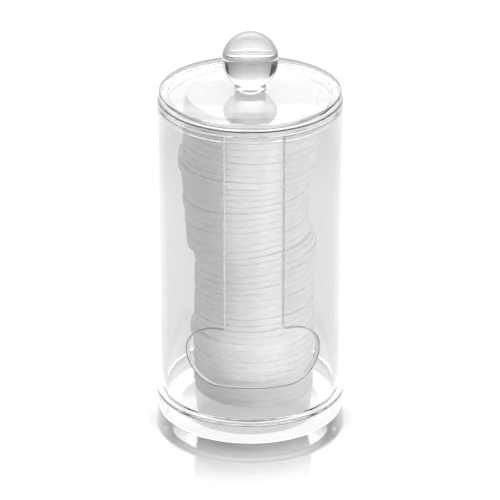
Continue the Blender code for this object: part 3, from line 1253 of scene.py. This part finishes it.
    def card(self, name: str, centre: Triple, size: Span, turn: Triple, level: float) -> None:
        """A matt card that only shows in the object's clear edges.

        Args:
            name: The card's name.
            centre: Its centre.
            size: Its width and height.
            turn: Its rotation.
            level: How bright it is.
        """
        Bench.put_down()
        bpy.ops.mesh.primitive_plane_add(size=1.0, location=centre, rotation=turn)
        card = bpy.context.object
        card.name = name
        card.scale = (*size, 1.0)
        material = bpy.data.materials.new(name)
        nodes = Nodes(material)
        nodes.show(nodes.add("Emission", {"Color": grey(level), "Strength": 1.0}))
        Bench.dress(card, material)
        self.set_aside(card)

    def cards(self) -> None:
        """Black cards at both sides, which draw dark lines in clear edges, and a grey one."""
        upright = math.radians(90)
        left, right = math.radians(47), math.radians(-47)
        self.card("left_card", (-0.72, 0.65, 0.22), (0.52, 0.44), (upright, 0.0, left),
                  self.black_card)
        self.card("right_card", (0.72, 0.65, 0.20), (0.22, 0.40), (upright, 0.0, right),
                  self.black_card)
        self.card("front_card", (0.0, -2.3, 1.35), (4.0, 2.3), (upright, 0.0, 0.0),
                  self.grey_card)

    def sweep(self) -> None:
        """A sheet that rises behind the table, grey at its near edge and bright higher up."""
        Bench.put_down()
        near, far, turn_radius, height = self.sweep_reach
        bpy.ops.mesh.primitive_plane_add(
            size=1.0, location=(0.0, (near + far) / 2, self.sweep_lift))
        sheet = bpy.context.object
        sheet.name = "sweep"
        sheet.scale = (self.sweep_width, far - near, 1.0)
        Bench.settle(sheet)
        Bench.edit()
        half = self.sweep_width / 2
        Bench.select_points([Vector((x, far, self.sweep_lift)) for x in (-half, half)])
        chord = 2 * turn_radius * math.sin(math.pi / 4 / self.sweep_steps)
        for step in range(self.sweep_steps):
            turn = math.pi / 2 * (step + 0.5) / self.sweep_steps
            bpy.ops.mesh.extrude_edges_move(TRANSFORM_OT_translate={
                "value": (0.0, chord * math.cos(turn), chord * math.sin(turn))})
        bpy.ops.mesh.extrude_edges_move(TRANSFORM_OT_translate={"value": (0.0, 0.0, height)})
        Bench.leave()
        Bench.dress(sheet, self.sweep_paper())
        self.set_aside(sheet)

    def sweep_paper(self) -> Material:
        """The sheet's brightness, which follows how steeply the object looks up to it.

        Returns:
            The sheet's material.
        """
        material = bpy.data.materials.new("sweep_paper")
        nodes = Nodes(material)
        x, y, z = (nodes.add("SeparateXYZ", {0: nodes.place()}, axis) for axis in "XYZ")
        slope = nodes.work("DIVIDE", nodes.work("SUBTRACT", z, self.sweep_eye), y)
        aside = nodes.work("DIVIDE", nodes.work("ABSOLUTE", x), y)
        middle = brightest(self.sweep_levels)
        nodes.show(nodes.add("Emission", {
            "Color": nodes.ramp(slope, self.sweep_levels),
            "Strength": nodes.between(
                aside, self.sweep_turn, (middle, middle * self.sweep_sides))}))
        return material

    def lamp(self, name: str, place: Triple, size: Span, power: float) -> None:
        """Adds a soft box that looks at the object's middle.

        Args:
            name: The lamp's name.
            place: Where it hangs.
            size: Its width and height.
            power: Its power in watts.
        """
        data = bpy.data.lights.new(name, "AREA")
        data.shape = "RECTANGLE"
        data.size, data.size_y = size
        data.energy = power
        lamp = bpy.data.objects.new(name, data)
        lamp.location = place
        aim = Vector(self.lamp_aim) - Vector(place)
        lamp.rotation_euler = aim.to_track_quat("-Z", "Y").to_euler()
        lamp.visible_glossy = False
        lamp.visible_transmission = False
        bpy.context.scene.collection.objects.link(lamp)


@dataclass(frozen=True)
class Viewpoint:
    """The photograph's camera, solved from the outlines of the foot, the tube and the lid."""

    focal_pixels: float = 3142.35
    image_pixels: float = 500.0
    sensor: float = 36.0
    pitch: float = math.radians(25.248)
    azimuth: float = math.radians(2.4)
    distance: float = 1.4764
    aim_height: float = 79.13 * MM
    right_pixels: float = 0.28
    down_pixels: float = 0.5
    nearest: float = 0.05
    farthest: float = 50.0

    def build(self) -> Piece:
        """Places the camera.

        Returns:
            The camera.
        """
        data = bpy.data.cameras.new("camera")
        data.sensor_width = self.sensor
        data.lens = self.focal_pixels * self.sensor / self.image_pixels
        data.clip_start = self.nearest
        data.clip_end = self.farthest
        camera = bpy.data.objects.new("camera", data)
        towards = Vector((math.sin(self.azimuth) * math.cos(self.pitch),
                          math.cos(self.azimuth) * math.cos(self.pitch), -math.sin(self.pitch)))
        rightwards = Vector((math.cos(self.azimuth), -math.sin(self.azimuth), 0.0))
        upwards = rightwards.cross(towards)
        scale = self.distance / self.focal_pixels
        place = (Vector((0.0, 0.0, self.aim_height)) - towards * self.distance
                 - rightwards * self.right_pixels * scale + upwards * self.down_pixels * scale)
        camera.matrix_world = Matrix.Translation(place) @ Matrix(
            (rightwards, upwards, -towards)).transposed().to_4x4()
        bpy.context.scene.collection.objects.link(camera)
        bpy.context.scene.camera = camera
        return camera


CLEAR = ClearFinish("clear_acrylic")
LID_CLEAR = ClearFinish("clear_acrylic_lid", tint=(0.95, 0.953, 0.957), depth_density=1.5)
KNOB_CLEAR = ClearFinish("clear_acrylic_knob", tint=(0.90, 0.905, 0.91), depth_density=3.0)
CUT_EDGE = ClearFinish("cut_edge", tint=(0.94, 0.945, 0.95), haze=(0.3, 0.5), clearness=0.3,
                       spread=3 * MM)
# Painted shade: the mouth's narrow roundings are tinted dark so that they show as dark lines.
MOUTH_EDGE_SHADE = ClearFinish("mouth_edge_shade", tint=(0.5, 0.505, 0.51), haze=(0.05, 0.15))
SLOT_ARRIS = ClearFinish("slot_arris", tint=(0.94, 0.945, 0.95), haze=(0.2, 0.4), clearness=0.5,
                         spread=3 * MM)
# Painted shade: a near-black finish that draws the lid's joint of plate and ring as a dark line.
JOINT_SHADE = ClearFinish("joint_shade_line", tint=(0.01, 0.01, 0.01), haze=(0.1, 0.2))


def main() -> None:
    """Builds the looks in order and reports each piece."""
    logging.basicConfig(level=logging.INFO, format="%(name)s: %(message)s")
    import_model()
    scene = bpy.context.scene
    scene.view_settings.view_transform = "Standard"
    scene.cycles.max_bounces = BOUNCES
    scene.cycles.transmission_bounces = BOUNCES
    scene.cycles.glossy_bounces = BOUNCES
    scene.cycles.transparent_max_bounces = CLEAR_LAYERS
    Viewpoint().build()
    Studio().build()
    clear, cement = CLEAR.build(), CementFinish().build()
    pieces = [
        Foot().build(clear, cement),
        Tube().build(clear, cement, CUT_EDGE.build(), MOUTH_EDGE_SHADE.build(), SLOT_ARRIS.build()),
        *Lid().build(LID_CLEAR.build(), KNOB_CLEAR.build(), cement, JOINT_SHADE.build()),
        *PadStack().build(CottonFinish().build())]
    for piece in pieces:
        LOG.info("%s: %d faces", piece.name, len(piece.data.polygons))


if __name__ == "__main__":
    main()
